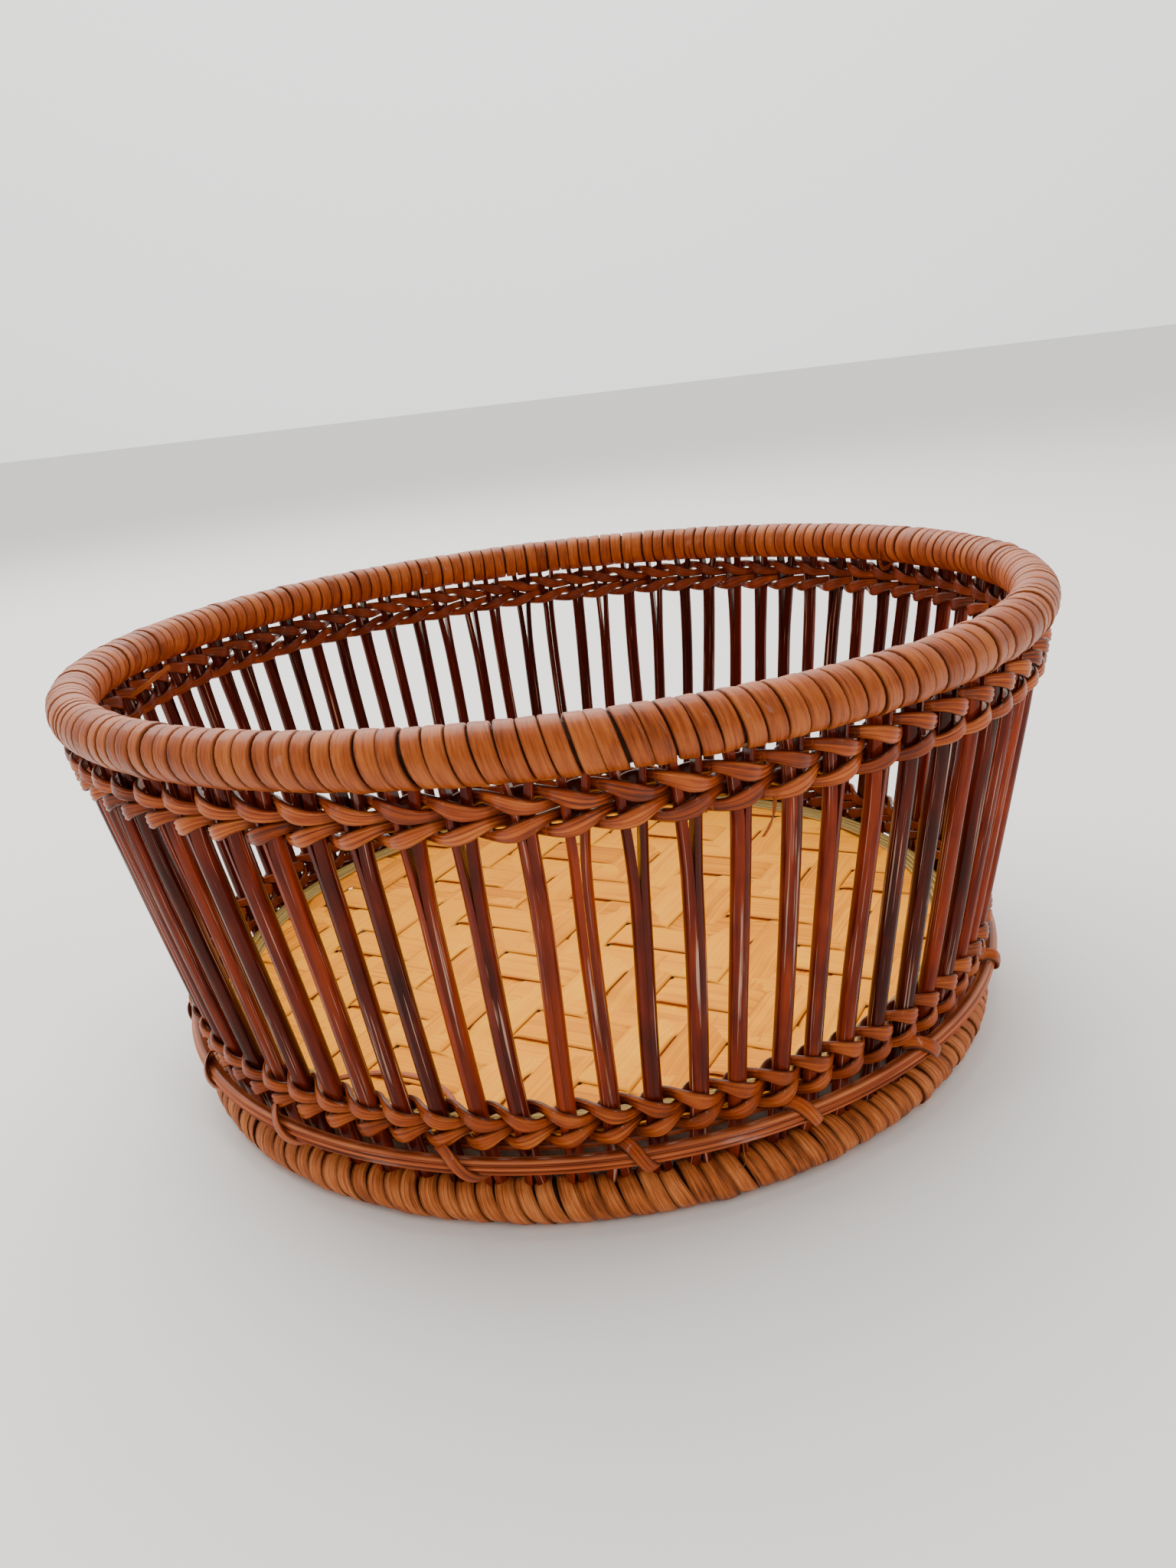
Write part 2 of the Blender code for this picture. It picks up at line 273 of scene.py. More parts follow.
def finish_tree(tree, geometry, place, notes, material):
    """Move the points to a place, if there is one, close the seams and hand the mesh out."""
    for name, value in notes.items():
        geometry = keep(tree, geometry, name, value)
    if place:
        move = tree.nodes.new("GeometryNodeSetPosition")
        tree.links.new(geometry, move.inputs["Geometry"])
        tree.links.new(vector_of(tree, *place), move.inputs["Position"])
        geometry = move.outputs[0]
    weld = tree.nodes.new("GeometryNodeMergeByDistance")
    weld.inputs["Distance"].default_value = WELD_DISTANCE
    tree.links.new(geometry, weld.inputs["Geometry"])
    smooth = tree.nodes.new("GeometryNodeSetShadeSmooth")
    tree.links.new(weld.outputs[0], smooth.inputs["Geometry"])
    real = tree.nodes.new("GeometryNodeRealizeInstances")
    tree.links.new(smooth.outputs[0], real.inputs[0])
    paint = tree.nodes.new("GeometryNodeSetMaterial")
    paint.inputs["Material"].default_value = material
    tree.links.new(real.outputs[0], paint.inputs["Geometry"])
    out = tree.nodes.new("NodeGroupOutput")
    tree.links.new(paint.outputs[0], out.inputs[0])


def on_ring(angle, radius, side, height):
    """X, Y and Z of a point at an angle and radius, moved sideways round the ring."""
    return (radius * cos(angle) - side * sin(angle),
            radius * sin(angle) + side * cos(angle),
            height)


NO_AREA = 1e-14


def grow(name, build_tree, sizes, sharp=60, **counts_and_finish):
    """Run a rule with its sizes, and keep the result as a plain closed mesh."""
    tree = build_tree(name + "_rule", sizes, **counts_and_finish)
    piece = bpy.data.objects.new(name, bpy.data.meshes.new(name))
    bpy.context.scene.collection.objects.link(piece)
    rule = piece.modifiers.new("rule", "NODES")
    rule.node_group = tree
    for item in tree.interface.items_tree:
        if item.in_out == "INPUT":
            rule[item.identifier] = sizes[item.name]
    graph = bpy.context.evaluated_depsgraph_get()
    mesh = bpy.data.meshes.new_from_object(piece.evaluated_get(graph), depsgraph=graph)
    piece.modifiers.clear()
    piece.data = mesh
    mesh.name = name
    bm = bmesh.new()
    bm.from_mesh(mesh)
    bmesh.ops.recalc_face_normals(bm, faces=bm.faces)
    bm.to_mesh(mesh)
    shrunk = sum(1 for face in bm.faces if face.calc_area() < NO_AREA)
    open_edges = sum(1 for edge in bm.edges if not edge.is_manifold)
    bm.free()
    mesh.set_sharp_from_angle(angle=math.radians(sharp))
    triangles = sum(len(face.vertices) - 2 for face in mesh.polygons)
    heights = [vertex.co.z for vertex in mesh.vertices]
    print(f"{name}: {triangles} triangles, {open_edges} open edges, {shrunk} faces without area, "
          f"z {min(heights):.4f} to {max(heights):.4f}")
    return piece


def settle(piece, slot, *nodes):
    """Tie a finished piece to the frame, in place of the plain solids it stands for."""
    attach(piece, "root")
    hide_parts(*nodes)


print("strand tools are ready")

# %% [markdown]
# Every finish here is cane or bamboo, so one recipe serves them all. A strand's own
# numbers, kept on its points, say how far along and across it a point lies. Noise that
# is long along the strand and fine across it gives the fibres, and a random value for each
# turn or length gives the change of tone. The edges are darker with painted shade, as in
# the creases where strands meet. Dark lines along the strand are painted shade in its
# grooves, pale streaks on it are painted highlights that are partly wear, and what faces
# into the basket is darker with painted shade. The fibres also lift the surface a little
# through a Bump node.


# %% The cane finish
def read(tree, name):
    """A value that was kept on the piece, as a field in a material."""
    node = tree.nodes.new("ShaderNodeAttribute")
    node.attribute_name = name
    return Field(tree, node.outputs["Fac"])


def speckle(tree, vector, detail):
    """Noise read at a vector."""
    node = tree.nodes.new("ShaderNodeTexNoise")
    node.inputs["Scale"].default_value = 1
    node.inputs["Detail"].default_value = detail
    node.inputs["Roughness"].default_value = 0.55
    tree.links.new(vector, node.inputs["Vector"])
    return Field(tree, node.outputs[0])


def ramp(tree, value, stops):
    """Colours met in turn as a value rises. Returns the colour socket."""
    node = tree.nodes.new("ShaderNodeValToRGB")
    marks = node.color_ramp.elements
    while len(marks) < len(stops):
        marks.new(0.5)
    for mark, (place, colour) in zip(marks, stops):
        mark.position = place
        mark.color = (*colour, 1)
    tree.links.new(value.socket, node.inputs["Fac"])
    return node.outputs["Color"]


def blend_colours(tree, amount, below, above):
    """A colour socket with a fixed colour mixed in by an amount."""
    node = tree.nodes.new("ShaderNodeMix")
    node.data_type = "RGBA"
    factor, first, second = node.inputs["Factor"], node.inputs[6], node.inputs[7]
    feed(tree, amount, factor)
    tree.links.new(below, first)
    second.default_value = (*above, 1)
    return node.outputs[2]


NOISE_HALF = 0.5    # what noise is on average
# painted shade: what faces into the basket is darkened by this share
PAINTED_INNER_SHADE = 0.7
# the pale colour of the streaks on the stakes: painted highlights that are partly wear
WEAR_AND_HIGHLIGHT_COLOUR = (0.55, 0.33, 0.25)
WEAR_AND_HIGHLIGHT_FROM, WEAR_AND_HIGHLIGHT_SHARPNESS = 0.61, 14    # the noise above which a pale streak of painted highlight and wear shows, and how abruptly
SHINE_TINT, COAT_TINT = (1.0, 0.72, 0.50, 1), (1.0, 0.85, 0.7, 1)
COAT_ROUGHNESS = 0.10
FIBRE_RELIEF = 0.0004
SMOOTHEST, ROUGHEST = 0.08, 0.95


def cane(name, stops, fibre, stretch, tone, edge, crease_shade_colour, rough, bump, coat=0.0, crisp=5,
         shine=0.3, lines=0, line_depth=0.0, streak=0.0):
    """A cane finish: tones, fibres across the strand, painted shade at the edges, in the grooves and
    on the inward side, painted highlight streaks that are partly wear, gloss and relief.
    """
    material = bpy.data.materials.new(name)
    material.use_nodes = True
    tree = material.node_tree
    shader = tree.nodes["Principled BSDF"]
    along, across, turn = (read(tree, key) for key in ("along", "across", "turn"))

    def grain(across_scale, along_scale, turn_shift, detail=3.0):
        """Noise at a scale across and along the strand, other for each turn."""
        place = vector_of(tree, across * across_scale, along * along_scale, turn * turn_shift)
        return speckle(tree, place, detail)

    fibres = grain(fibre, stretch, 3.7)
    blots = grain(0.6, stretch * 2.5, 1.9, detail=2.0)
    luck = chance(floor(turn + 0.001), 3)
    shade = (fibres - NOISE_HALF) * 1.5 + (blots - NOISE_HALF) * 0.9 + luck * tone + 0.5
    # painted shade in the grooves that run along the strand
    groove_shade = power(size_of(sin(across * (lines * math.pi / 2))), 6)
    # painted shade on what faces into the basket, read from the inside note
    inward_shade_factor = 1 - read(tree, "inside") * PAINTED_INNER_SHADE
    colour = ramp(tree, between((shade - groove_shade * line_depth) * inward_shade_factor, 0, 1), stops)
    # painted shade at the edges of each strand, in the creases where it meets the next
    crease_shade = between(power(size_of(across), crisp) * edge, 0, 1)
    colour = blend_colours(tree, crease_shade, colour, crease_shade_colour)
    # pale streaks, painted highlights that are partly wear, laid on by the streak amount
    wear_and_highlight = between((grain(8, 18, 5.3) - WEAR_AND_HIGHLIGHT_FROM) * WEAR_AND_HIGHLIGHT_SHARPNESS, 0, 1) * streak
    colour = blend_colours(tree, wear_and_highlight, colour, WEAR_AND_HIGHLIGHT_COLOUR)
    tree.links.new(colour, shader.inputs["Base Color"])
    gloss = (fibres - NOISE_HALF) * 0.5 + (blots - NOISE_HALF) * 0.35 + rough
    feed(tree, between(gloss, SMOOTHEST, ROUGHEST), shader.inputs["Roughness"])
    relief = tree.nodes.new("ShaderNodeBump")
    relief.inputs["Strength"].default_value = bump
    relief.inputs["Distance"].default_value = FIBRE_RELIEF
    feed(tree, grain(fibre * 1.6, stretch * 0.6, 2.3) + fibres * 0.6, relief.inputs["Height"])
    tree.links.new(relief.outputs[0], shader.inputs["Normal"])
    shader.inputs["Specular IOR Level"].default_value = shine
    shader.inputs["Specular Tint"].default_value = SHINE_TINT
    shader.inputs["Coat Tint"].default_value = COAT_TINT
    shader.inputs["Coat Weight"].default_value = coat
    shader.inputs["Coat Roughness"].default_value = COAT_ROUGHNESS
    print("finish:", name)
    return material


RIM_CANE = cane(
    "rim_cane",
    [(0.0, (0.134, 0.0202, 0.0022)), (0.45, (0.315, 0.0588, 0.00661)), (1.0, (0.489, 0.133, 0.0249))],
    fibre=3.6, stretch=45, tone=0.18, edge=0.75, crease_shade_colour=(0.04, 0.006, 0.00105), crisp=9,
    rough=0.45, bump=0.8, coat=0.12)
FOOT_CANE = cane(
    "foot_cane",
    [(0.0, (0.166, 0.0373, 0.00917)), (0.45, (0.514, 0.126, 0.0274)), (1.0, (0.851, 0.307, 0.0917))],
    fibre=7.0, stretch=40, tone=0.16, edge=0.9, crease_shade_colour=(0.0387, 0.00648, 0.0015),
    rough=0.5, bump=1.0, coat=0.03, shine=0.2, lines=4, line_depth=0.18)
STAKE_CANE = cane(
    "stake_cane",
    [(0.0, (0.036, 0.0027, 0.0004)), (0.5, (0.118, 0.0082, 0.0007)), (1.0, (0.280, 0.0300, 0.0024))],
    fibre=2.2, stretch=22, tone=0.42, edge=0.35, crease_shade_colour=(0.009, 0.0009, 0.0003),
    rough=0.34, bump=0.25, coat=0.25, shine=0.05, streak=0.8)
UPPER_CANE = cane(
    "upper_weaver_cane",
    [(0.0, (0.094, 0.0136, 0.00592)), (0.45, (0.336, 0.0545, 0.00887)), (1.0, (0.617, 0.178, 0.037))],
    fibre=3.4, stretch=40, tone=0.26, edge=0.9, crease_shade_colour=(0.021, 0.00272, 0.0008),
    rough=0.36, bump=0.6, coat=0.15, shine=0.2, lines=3, line_depth=0.26)
LOWER_CANE = cane(
    "lower_weaver_cane",
    [(0.0, (0.128, 0.0197, 0.00212)), (0.45, (0.337, 0.0506, 0.00426)), (1.0, (0.546, 0.148, 0.0213))],
    fibre=3.4, stretch=40, tone=0.18, edge=0.9, crease_shade_colour=(0.0252, 0.0033, 0.0007),
    rough=0.36, bump=0.6, coat=0.15, shine=0.2, lines=3, line_depth=0.20)
HOOP_CANE = cane(
    "hoop_cane",
    [(0.0, (0.107, 0.0199, 0.00886)), (0.5, (0.413, 0.0796, 0.0206)), (1.0, (0.763, 0.25, 0.0886))],
    fibre=3.0, stretch=14, tone=0.24, edge=0.6, crease_shade_colour=(0.0252, 0.00444, 0.0012),
    rough=0.36, bump=0.4, coat=0.15, shine=0.2, lines=3, line_depth=0.40)
MAT_BAMBOO = cane(
    "mat_bamboo",
    [(0.0, (0.603, 0.175, 0.0032)), (0.5, (0.894, 0.313, 0.0056)), (1.0, (0.98, 0.423, 0.016))],
    fibre=8.0, stretch=9, tone=0.30, edge=0.8, crease_shade_colour=(0.3, 0.068, 0.00384), crisp=14,
    rough=0.6, bump=0.22, shine=0.08)
SPLINT_BAMBOO = cane(
    "splint_bamboo",
    [(0.0, (0.26, 0.162, 0.036)), (0.5, (0.5, 0.342, 0.096)), (1.0, (0.66, 0.475, 0.16))],
    fibre=2.6, stretch=12, tone=0.2, edge=0.8, crease_shade_colour=(0.1, 0.0475, 0.0096),
    rough=0.5, bump=0.3)

# %% [markdown]
# The rim is a bundle of cane bound with one flat strip, wound round and round. A strip
# that is wound is a helix bent into a ring: one angle runs round the tube, and the
# other creeps along the rim, one strip's width a turn. Smooth chance in where, how wide
# and how high each turn lies gives the open gaps and the turns that ride up on others.
# Each use of wander or chance ends with a seed of its own, so no two of them agree.


# %% The bindings of the rim and the foot ring
def section_point(rib, ribs, square):
    """Across and up, between -1 and 1, round a flat strip's rounded section."""
    turn = (rib % ribs) * (2 * math.pi / ribs)
    across = cos(turn)
    up = sin(turn)
    return (across.math("SIGN") * power(size_of(across), square),
            up.math("SIGN") * power(size_of(up), square))


FLOOR_GAP = 0.00002    # a strip is flattened where it would press through the floor
TURN_LENGTH = 0.046    # how much strip one turn takes
STRIP_VARIES = 0.07    # the share by which a strip is wider or narrower in places


def binding_rule(name, sizes, turns, steps, ribs, material):
    """The rule of a strip wound round a ring."""
    tree, size = start_tree(name, sizes)
    sheet = sheets(tree, 1, turns * steps + 1, ribs + 1)
    wound = recall(tree, "step") / steps
    from_seam = wound.math("MINIMUM", turns - wound)
    calm = between(from_seam * 2, 0, 1)
    across, up = section_point(recall(tree, "rib"), ribs, size["Square"])
    tube_angle = wound * (2 * math.pi)
    drift = (wander(wound, 0.9, 1) + wander(wound, 2.1, 5) * 0.5) * size["Wander"] * calm
    width = size["Strip width"] * (wander(wound, 0.8, 2) * calm * STRIP_VARIES + 1)
    width = width * (1 - size["Pinch"] * power((cos(tube_angle) + 1) * 0.5, 2))
    side = across * width * 0.5 + drift - cos(tube_angle) * size["Lean"]
    angle = wound * (2 * math.pi / turns) + side / size["Ring radius"]
    lift = (wander(wound, 0.7, 3) + across * wander(wound, 0.5, 4)) * size["Lift"] * calm
    depth = size["Thickness"] * 0.5
    pleat = 1 - power(sin(across * size["Pleats"] * math.pi), 2) * size["Pleat depth"]
    reach = size["Tube"] - depth + up * pleat * depth + lift
    radius = size["Ring radius"] + reach * sin(tube_angle)
    height = size["Ring height"] + reach * cos(tube_angle)
    height = height.math("MAXIMUM", FLOOR_GAP)
    notes = {"across": across, "along": wound * TURN_LENGTH, "turn": wound}
    finish_tree(tree, sheet, on_ring(angle, radius, 0, height), notes, material)
    return tree


rim_binding = grow("rim_binding", binding_rule, {
    "Ring radius": RIM_RADIUS, "Ring height": RIM_Z, "Tube": RIM_TUBE + 0.0001,
    "Strip width": 0.0050, "Thickness": 0.0019, "Wander": 0.00030, "Lift": 0.00026,
    "Pinch": 0.0, "Lean": 0.0009, "Square": 0.5, "Pleats": 1, "Pleat depth": 0.10},
    turns=190, steps=22, ribs=14, material=RIM_CANE)
settle(rim_binding, "rim_cane", "rim_wrap")
foot_binding = grow("foot_binding", binding_rule, {
    "Ring radius": FOOT_RADIUS, "Ring height": FOOT_Z, "Tube": FOOT_TUBE + 0.0002,
    "Strip width": 0.0062, "Thickness": 0.0022, "Wander": 0.00050, "Lift": 0.00042,
    "Pinch": 0.16, "Lean": 0.0015, "Square": 0.38, "Pleats": 2, "Pleat depth": 0.34},
    turns=154, steps=20, ribs=20, material=FOOT_CANE)
settle(foot_binding, "foot_cane", "foot_wrap")

# %% [markdown]
# Each stake is one round cane, split at both ends so that its two legs can straddle and
# grip the ring's core. It is made of two half rods that touch down the middle and part
# where the cane is split. Hand work shows in small leans, bends and uneven splits.


# %% The stakes
HALF_POINTS = 11
STAKE_STEPS = 20
SEAM = 0.00003    # half the hair's breadth between the two halves
SPLIT_VARIES, SPREAD_VARIES, THICKNESS_VARIES = 0.55, 0.35, 0.07    # shares of each size
SPLIT_THINS = 0.16    # the share by which a leg is thinner than the whole half
STRAIGHT_AT = 0.35    # how far up a leaning stake stands where it should


def leaning_radius(size, height):
    """How far from the basket's axis the stakes' middle lines are at a height."""
    climb = (height - size["Foot height"]) / (size["Rim height"] - size["Foot height"])
    return size["Foot radius"] + (size["Rim radius"] - size["Foot radius"]) * climb


def stake_rule(name, sizes, material):
    """The rule of the half rods."""
    tree, size = start_tree(name, sizes)
    last = STAKE_STEPS + 2
    sheet = sheets(tree, 2 * STAKES, last + 1, HALF_POINTS + 1)
    strand = recall(tree, "strand")
    stake = floor((strand + 0.5) / 2)
    hand = (strand - stake * 2) * 2 - 1
    step = recall(tree, "step")
    body = between(step.math("MINIMUM", last - step), 0, 1)
    share = between(step - 1, 0, STAKE_STEPS) / STAKE_STEPS
    height = size["Bottom"] + (size["Top"] - size["Bottom"]) * share
    under_rim = between((share - 0.80) * 5, 0, 1)
    radius = leaning_radius(size, height) - power(under_rim, 2) * size["Turn in"]
    radius = radius + chance(stake, 6) * sin(share * math.pi) * size["Bend"] * 0.5
    split_at = size["Top split"] * (chance(stake, 1) * SPLIT_VARIES + 1)
    above = between((height - size["Top"] + split_at) / split_at, 0, 1)
    below = between((size["Bottom"] + size["Foot split"] - height) / size["Foot split"], 0, 1)
    spread = power(above, 1.5) * size["Top spread"] * (chance(stake, 2) * SPREAD_VARIES + 1)
    spread = spread + below * size["Foot spread"]
    lean = chance(stake, 3) * (share - STRAIGHT_AT) * size["Lean"]
    lean = lean + chance(stake, 4) * size["Stray"]
    bow = sin(share * math.pi) * chance(stake, 5) * size["Bend"]
    bow = bow + sin(share * 2 * math.pi) * chance(stake, 7) * size["Bend"] * 0.5
    arc = (recall(tree, "rib") % HALF_POINTS) * (math.pi / (HALF_POINTS - 1)) - math.pi / 2
    thick = size["Thickness"] * (chance(stake, 8) * THICKNESS_VARIES + 1)
    thick = thick * (1 - above * SPLIT_THINS) * body
    side = lean + bow + hand * (spread + SEAM + cos(arc) * thick)
    place = on_ring(stake * STEP, radius + sin(arc) * thick, side, height)
    # the inside note sets the painted shade on the side of each rod that faces into the basket
    notes = {"across": sin(arc) * 0.9 + hand * 0.15, "along": height, "turn": stake,
             "inside": between(0.2 - sin(arc) * 1.3, 0, 1)}
    finish_tree(tree, sheet, place, notes, material)
    return tree


LEAN = {"Foot radius": STAKE_FOOT_RADIUS, "Foot height": FOOT_Z,
        "Rim radius": STAKE_RIM_RADIUS, "Rim height": RIM_Z}
stakes = grow("stakes", stake_rule, {
    **LEAN, "Bottom": FOOT_Z + 0.0038, "Top": RIM_Z - 0.0052, "Turn in": 0.0016,
    "Thickness": 0.0026, "Top split": 0.030, "Top spread": 0.0018, "Foot split": 0.008,
    "Foot spread": 0.0010, "Bend": 0.0011, "Lean": 0.0011, "Stray": 0.0005},
    sharp=50, material=STAKE_CANE)
settle(stakes, "stake_cane", *[f"stake_pair_{n:02d}" for n in range(1, STAKES // 2 + 1)])

# %% [markdown]
# Twining works with two weavers at a time. One passes outside a stake while the other
# passes inside it, and between two stakes they cross, always the same one over. So each
# weaver swings in and out as a cosine and up and down as a sine. The second row is laid
# with the opposite twist, which makes the two rows look like a plait.


# %% The twined bands
WEAVER_STEPS = 12
PASS_LENGTH = 0.0133    # how much weaver it takes to pass a stake
CROSSING_WIDTH = 0.92    # how wide a weaver is where two cross, as a share of its widest
WEAVER_VARIES = 0.08


def twining_rule(name, sizes, ribs, material):
    """The rule of four weavers in two rows that twist opposite ways."""
    tree, size = start_tree(name, sizes)
    sheet = sheets(tree, 4, STAKES * WEAVER_STEPS + 1, ribs + 1)
    strand = recall(tree, "strand")
    row = floor((strand + 0.5) / 2)
    partner = strand - row * 2
    place = recall(tree, "step") / WEAVER_STEPS
    from_seam = place.math("MINIMUM", STAKES - place)
    calm = between(from_seam * 2, 0, 1)
    swing = (place + partner) * math.pi
    twist = row * 2 - 1
    seed = strand * 131
    middle = size["Upper row"] + (size["Lower row"] - size["Upper row"]) * row
    middle = middle + wander(place + seed, 0.35, 1) * size["Wander"] * calm
    outward = cos(swing)
    climb = twist * sin(swing)
    height = middle + climb * size["Rise"]
    base = leaning_radius(size, height)
    radius = base + outward * size["Reach"]
    radius = radius + wander(place + seed, 0.8, 2) * size["Sway"] * calm
    gap = base * STEP
    turn_in = (0 - sin(swing)) * size["Reach"] * math.pi / gap
    slope = twist * outward * size["Rise"] * math.pi / gap
    run = power(turn_in * turn_in + slope * slope + 1, 0.5)
    across, up = section_point(recall(tree, "rib"), ribs, 0.75)
    ridge = 0 - power(sin(across * (1.5 * math.pi)), 2) * size["Groove"]
    broad = power(size_of(outward), 0.8) * (1 - CROSSING_WIDTH) + CROSSING_WIDTH
    broad = broad * (wander(place + seed, 0.7, 3) * calm * WEAVER_VARIES + 1)
    half = across * size["Width"] * broad * 0.5
    thick = up * (1 + ridge) * size["Thickness"] * 0.5
    out_shift = thick / run
    side_shift = (0 - turn_in) * thick / run - slope * half / run
    height = height + half / run
    # the inside note sets the painted shade on the passes that face into the basket
    notes = {"across": across, "along": place * PASS_LENGTH + strand * 1.7,
             "turn": floor((place + partner + 0.5) / 2) + strand * 100,
             "inside": between(0.2 - outward * 1.3, 0, 1)}
    spot = on_ring(place * STEP, radius + out_shift, side_shift, height)
    finish_tree(tree, sheet, spot, notes, material)
    return tree


for band, rows, width, finish in (("upper", UPPER_ROWS, 0.0047, UPPER_CANE),
                                  ("lower", LOWER_ROWS, 0.0050, LOWER_CANE)):
    twining = grow(band + "_twining", twining_rule, {
        **LEAN, "Upper row": rows[0], "Lower row": rows[1], "Reach": 0.0038, "Rise": 0.0017,
        "Width": width, "Thickness": 0.0021, "Groove": 0.36, "Wander": 0.0003,
        "Sway": 0.00015}, ribs=20, material=finish)
    settle(twining, "weaver_cane",
           *[f"{band}_row_{n}_weaver_{letter}" for n in (1, 2) for letter in "ab"])

# %% [markdown]
# A hoop of split cane runs round outside the stakes and carries the edge of the floor
# mat, with a second, thinner hoop inside. Thin splints hold the mat's edge down. All are
# the same rule: a section, grooved or plain, carried round a circle, with a little wander
# so that it doesn't look turned on a lathe.


# %% The hoops and the splints
HOOP_STEPS = 3    # steps from one stake to the next


def hoop_rule(name, sizes, count, ribs, material):
    """The rule of one or more hoops, each inside the one before."""
    tree, size = start_tree(name, sizes)
    steps = HOOP_STEPS * STAKES
    sheet = sheets(tree, count, steps + 1, ribs + 1)
    strand = recall(tree, "strand")
    place = (recall(tree, "step") % steps) / HOOP_STEPS
    calm = between(place.math("MINIMUM", STAKES - place) * 0.5, 0, 1)
    across, up = section_point(recall(tree, "rib"), ribs, 0.8)
    groove = 1 - power(sin(across * size["Ridges"] * (math.pi / 2)), 2) * size["Groove"]
    seed = strand * 57
    radius = size["Radius"] - strand * size["Spacing"] + up * groove * size["Depth"] * 0.5
    radius = radius + wander(place + seed, 0.15, 1) * size["Wander"] * calm
    height = size["Height"] + strand * size["Rise"] + across * size["Width"] * 0.5
    height = height + wander(place + seed, 0.12, 2) * size["Wander"] * calm
    band = floor(across * size["Ridges"] * 0.5 + 20)
    notes = {"across": across, "along": place * 0.012, "turn": strand + band}
    finish_tree(tree, sheet, on_ring(place * STEP, radius, 0, height), notes, material)
    return tree


PLAIN = {"Ridges": 1, "Groove": 0.0}
LONE = {"Spacing": 0.0, "Rise": 0.0}
outer_hoop = grow("outer_hoop_cane", hoop_rule, {
    **LONE, "Radius": HOOP_RADIUS, "Height": HOOP_Z, "Width": 0.0047, "Depth": 0.0046,
    "Ridges": 3, "Groove": 0.34, "Wander": 0.0003}, count=1, ribs=24, material=HOOP_CANE)
settle(outer_hoop, "hoop_cane", "outer_hoop")
inner_hoop = grow("inner_hoop_cane", hoop_rule, {
    **LONE, **PLAIN, "Radius": outer_radius("inner_hoop") - INNER_HOOP_TUBE,
    "Height": middle_height("inner_hoop"), "Width": 0.0040, "Depth": 0.0040,
    "Wander": 0.0002}, count=1, ribs=12, material=HOOP_CANE)
settle(inner_hoop, "core_cane", "inner_hoop")
splints = grow("edge_splints", hoop_rule, {
    **PLAIN, "Radius": outer_radius("mat_splint_1") - 0.0004, "Height": MAT_HIGH + 0.0007,
    "Width": 0.0012, "Depth": 0.0015, "Spacing": 0.0017, "Rise": -0.00005,
    "Wander": 0.0004}, count=5, ribs=10, material=SPLINT_BAMBOO)
settle(splints, "splint_bamboo", "mat_splint_1", "mat_splint_2", "mat_splint_3")

# %% [markdown]
# The outer hoop is tied on with short lengths of weaver. Each tie comes out above the
# hoop, crosses it on a slant and goes back in below, so its path is a slanted loop
# round the hoop's section, and its two ends are hidden behind.

# %% The ties
TIES = 18
TIE_STEPS = 24
FIRST_TIE = 2    # the stake that the first tie comes after
SLANT_VARIES, END_NARROWS, TIE_GROOVE = 0.25, 0.45, 0.3    # shares of each size


def tie_rule(name, sizes, ribs, material):
    """The rule of the slanted ties round the outer hoop."""
    tree, size = start_tree(name, sizes)
    last = TIE_STEPS + 2
    sheet = sheets(tree, TIES, last + 1, ribs + 1)
    strand = recall(tree, "strand")
    step = recall(tree, "step")
    body = between(step.math("MINIMUM", last - step), 0, 1)
    share = between(step - 1, 0, TIE_STEPS) / TIE_STEPS
    home = floor(strand * (STAKES / TIES) + 0.5) + FIRST_TIE + 0.5
    loop = share * (1.5 * math.pi) - math.pi * 0.25
    high = power(1 - share, 3) * size["Start up"]
    lean = size["Slant"] * (chance(strand, 1) * SLANT_VARIES + 1)
    slide = between((share - 0.5) * 2.2, -1, 1) * lean + chance(strand, 2) * size["Stray"]
    across, up = section_point(recall(tree, "rib"), ribs, 0.75)
    thick = up * (1 - power(sin(across * (1.5 * math.pi)), 2) * TIE_GROOVE)
    thick = thick * size["Thickness"] * 0.5 * body
    half = across * size["Width"] * 0.5 * body * (1 - power(share, 3) * END_NARROWS)
    out = sin(loop)
    upward = cos(loop)
    radius = size["Radius"] + out * (size["Reach out"] + thick)
    height = size["Height"] + upward * (size["Reach up"] + thick) + half * 0.6 + high
    notes = {"across": across, "along": share * 0.02 + strand, "turn": strand + 40}
    place = on_ring(home * STEP, radius, slide + half * 0.8, height)
    finish_tree(tree, sheet, place, notes, material)
    return tree


ties = grow("hoop_ties", tie_rule, {
    "Radius": HOOP_RADIUS, "Height": HOOP_Z, "Reach out": 0.0031, "Reach up": 0.0034,
    "Slant": 0.0066, "Width": 0.0042, "Thickness": 0.0015, "Start up": 0.0016,
    "Stray": 0.0008}, ribs=16, material=LOWER_CANE)
settle(ties, "weaver_cane", "hoop_lashing")

# %% [markdown]
# The floor is flat bamboo in a twill: each strip goes over two and under two, one step
# further on in each row, so the pattern runs diagonally. Two sets of strips do it. The
# height of one is a clipped sine of strip number plus distance along, and the height of
# the other set is the same sine turned over, so one is up where the other is down.

# %% The floor mat
MAT_STRIPS = 16
MAT_STEPS = 128
MAT_PITCH = 0.0168
MAT_TURN = math.radians(-31)
MAT_STRIP_VARIES = 0.008
BEND_SHARPNESS = 5    # how soon a strip is up or down after it bends


